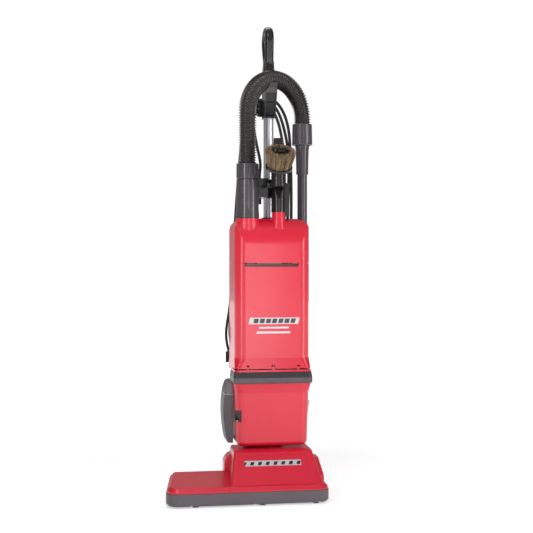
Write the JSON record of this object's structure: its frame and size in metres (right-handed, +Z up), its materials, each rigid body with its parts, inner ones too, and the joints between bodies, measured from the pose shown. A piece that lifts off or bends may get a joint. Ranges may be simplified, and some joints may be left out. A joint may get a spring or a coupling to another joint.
{
  "type": "upright vacuum cleaner",
  "caption": "Upright vacuum cleaner with a reclining body, hinged bag door, driven brush roll, rear wheels, arched hose, lift-out wand and stored tools.",
  "frame": {"origin": "floor level, at the bottom centre of the overall box with the body upright", "axes": "+Z up; -Y is the front, where the brush is; +X is the right side when looking towards +Y"},
  "size_m": [0.3952, 0.302, 1.182],
  "materials": {
    "badge_silver": "printed foil plate",
    "bag_paper": "layered filter paper",
    "black_plastic": "satin moulded plastic",
    "bristle_black": "stiff nylon tufts",
    "bristle_brown": "natural bristle tufts",
    "card": "pressed card",
    "copper_core": "laminated core with copper winding",
    "dark_bumper": "fine grain moulded plastic",
    "filter_white": "felt and pleated paper",
    "grey_pipe": "satin dark grey plastic",
    "handle_alloy": "satin drawn tube",
    "hose_plastic": "corrugated flexible plastic",
    "lens_green": "clear moulded lens",
    "red_housing": "glossy moulded plastic",
    "rubber_black": "moulded rubber",
    "steel": "turned and plated"
  },
  "bodies": {
    "base": {"base_cover": "red_housing", "base_badge": "badge_silver", "base_tub": "dark_bumper", "sole_plate": "dark_bumper", "sole_screws": "steel", "floor_glides": "black_plastic", "axle_pins": "steel", "pedal_pin": "steel", "brush_roll_bearings": "dark_bumper", "brush_motor_can": "dark_bumper", "drive_belt": "rubber_black", "base_duct": "grey_pipe", "duct_hose": "hose_plastic"},
    "left_rear_wheel": {"left_wheel": "black_plastic"},
    "right_rear_wheel": {"right_wheel": "black_plastic"},
    "pedal": {"release_pedal": "black_plastic"},
    "brush_roll": {"brush_roll_core": "black_plastic", "brush_roll_tufts": "bristle_black"},
    "brush_motor_rotor": {"brush_motor_armature": "steel"},
    "upright_body": {"top_cap": "red_housing", "rear_housing": "red_housing", "door_gasket": "rubber_black", "door_hinge_pin": "red_housing", "guard_band": "dark_bumper", "bulkhead": "dark_bumper", "motor_cover": "red_housing", "motor_housing": "red_housing", "housing_screws": "steel", "pivot_neck": "dark_bumper", "suction_motor_can": "dark_bumper", "suction_stator": "copper_core", "motor_mounts": "rubber_black", "pre_filter": "filter_white", "filter_bag": "bag_paper", "bag_collar": "card", "exhaust_filter": "filter_white", "exhaust_cover": "dark_bumper", "switch_bezel": "black_plastic", "indicator_lens": "lens_green", "handle_tube": "handle_alloy", "hose_hook": "black_plastic", "handle_grip": "black_plastic", "upper_cord_hook": "black_plastic", "lower_cord_hook": "black_plastic", "power_cord": "rubber_black", "inlet_pipe": "grey_pipe", "lower_hose_cuff": "grey_pipe", "hose": "hose_plastic", "wand_socket": "grey_pipe", "tool_caddy": "black_plastic"},
    "fan_rotor": {"suction_rotor": "steel", "suction_fan": "grey_pipe"},
    "door": {"bag_door": "red_housing"},
    "latch": {"door_latch": "red_housing"},
    "rocker": {"power_rocker": "black_plastic"},
    "wand_end": {"wand": "grey_pipe", "upper_hose_cuff": "grey_pipe"},
    "crevice": {"crevice_tool": "black_plastic"},
    "dusting_brush": {"dusting_brush_head": "black_plastic", "dusting_brush_bristles": "bristle_brown"}
  },
  "joints": [
    {"name": "body_recline", "type": "hinge", "parent": "base", "child": "upright_body", "pos_m": [0.07113, 0.069, 0.045], "axis": [-1, 0, 0], "range_deg": [0, 75], "deforming": ["duct_hose"]},
    {"name": "left_wheel_spin", "type": "hinge", "parent": "base", "child": "left_rear_wheel", "pos_m": [-0.01937, 0.069, 0.045], "axis": [1, 0, 0], "continuous": true},
    {"name": "right_wheel_spin", "type": "hinge", "parent": "base", "child": "right_rear_wheel", "pos_m": [0.16163, 0.069, 0.045], "axis": [1, 0, 0], "continuous": true},
    {"name": "pedal_press", "type": "hinge", "parent": "base", "child": "pedal", "pos_m": [0.00613, 0.093, 0.028], "axis": [-1, 0, 0], "range_deg": [0, 10]},
    {"name": "motor_spin", "type": "hinge", "parent": "base", "child": "brush_motor_rotor", "pos_m": [0.04113, -0.026, 0.074], "axis": [1, 0, 0], "continuous": true},
    {"name": "brush_spin", "type": "hinge", "parent": "base", "child": "brush_roll", "pos_m": [-0.00687, -0.086, 0.025], "axis": [1, 0, 0], "continuous": true},
    {"name": "fan_spin", "type": "hinge", "parent": "upright_body", "child": "fan_rotor", "pos_m": [0.07513, 0.029, 0.23], "axis": [0, 0, 1], "continuous": true},
    {"name": "door_open", "type": "hinge", "parent": "upright_body", "child": "door", "pos_m": [0.07113, -0.0445, 0.317], "axis": [1, 0, 0], "range_deg": [0, 80]},
    {"name": "latch_slide", "type": "slide", "parent": "door", "child": "latch", "axis": [0, 0, 1], "range_m": [0, 0.0035]},
    {"name": "rocker_tilt", "type": "hinge", "parent": "upright_body", "child": "rocker", "pos_m": [-0.01397, -0.03377, 0.195], "axis": [0.5878, -0.809, 0], "range_deg": [-8, 8]},
    {"name": "wand_lift", "type": "slide", "parent": "upright_body", "child": "wand_end", "axis": [0, 0, 1], "range_m": [0, 0.06], "deforming": ["hose"]},
    {"name": "crevice_lift", "type": "slide", "parent": "upright_body", "child": "crevice", "axis": [0, 0, 1], "range_m": [0, 0.1]},
    {"name": "brush_lift", "type": "slide", "parent": "upright_body", "child": "dusting_brush", "axis": [0, 0, 1], "range_m": [0, 0.06]}
  ],
  "couplings": [
    {"joint": "brush_spin", "follows": "motor_spin", "ratio": 0.57143}
  ]
}
